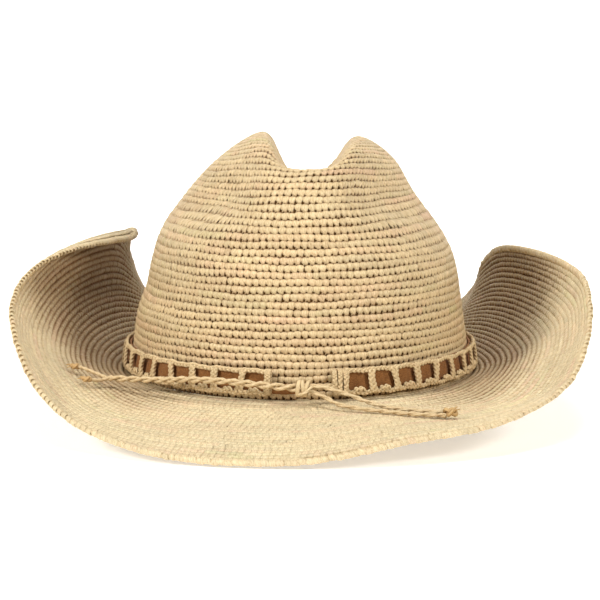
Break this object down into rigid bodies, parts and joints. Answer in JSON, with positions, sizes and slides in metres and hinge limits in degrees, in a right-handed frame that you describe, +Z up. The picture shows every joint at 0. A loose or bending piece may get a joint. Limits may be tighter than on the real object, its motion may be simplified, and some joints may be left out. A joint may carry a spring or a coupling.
{
  "type": "cowboy hat",
  "caption": "Crocheted raffia cowboy hat with a creased crown, a wired curled brim and a removable openwork band tied in front with a knotted cord.",
  "frame": {"origin": "centre of the head opening, at the height of the break row where crown and brim meet", "axes": "+Z up through the crown, hat front towards -Y, wearer's left towards +X"},
  "size_m": [0.285, 0.3451, 0.1386],
  "materials": {
    "raffia": "natural dry straw, low sheen",
    "raffia_edge": "natural dry straw, low sheen",
    "raffia_cord": "twisted straw fibre",
    "raffia_knot": "tight straw knot",
    "suede": "napped brown suede",
    "cotton": "matt woven cotton",
    "cotton_cord": "round braided cord",
    "wire": "drawn wire"
  },
  "bodies": {
    "hat_body": {"crown": "raffia", "brim": "raffia", "brim_edging": "raffia_edge", "brim_wire": "wire", "sweatband": "cotton", "sizing_cord": "cotton_cord"},
    "hatband": {"band_lattice": "raffia_edge", "suede_strip": "suede", "lattice_end_left": "raffia_edge", "lattice_end_right": "raffia_edge", "cord_bridge_left": "raffia_cord", "cord_bridge_right": "raffia_cord", "tie_knot": "raffia_cord"},
    "tie_left": {"tie_strand_left_a": "raffia_cord", "tie_strand_left_b": "raffia_cord", "tie_knot_left_a": "raffia_knot", "tie_knot_left_b": "raffia_knot"},
    "tie_right": {"tie_strand_right_a": "raffia_cord", "tie_strand_right_b": "raffia_cord", "tie_knot_right": "raffia_knot"}
  },
  "joints": [
    {"name": "hatband_lift", "type": "slide", "parent": "hat_body", "child": "hatband", "axis": [0, 0, 1], "range_m": [0, 0.135]},
    {"name": "tie_left_lift", "type": "hinge", "parent": "hatband", "child": "tie_left", "pos_m": [0.0014, -0.1129, 0.007], "axis": [0, 1, 0], "range_deg": [0, 40]},
    {"name": "tie_right_lift", "type": "hinge", "parent": "hatband", "child": "tie_right", "pos_m": [0.0014, -0.1129, 0.007], "axis": [0, -1, 0], "range_deg": [0, 40]}
  ]
}
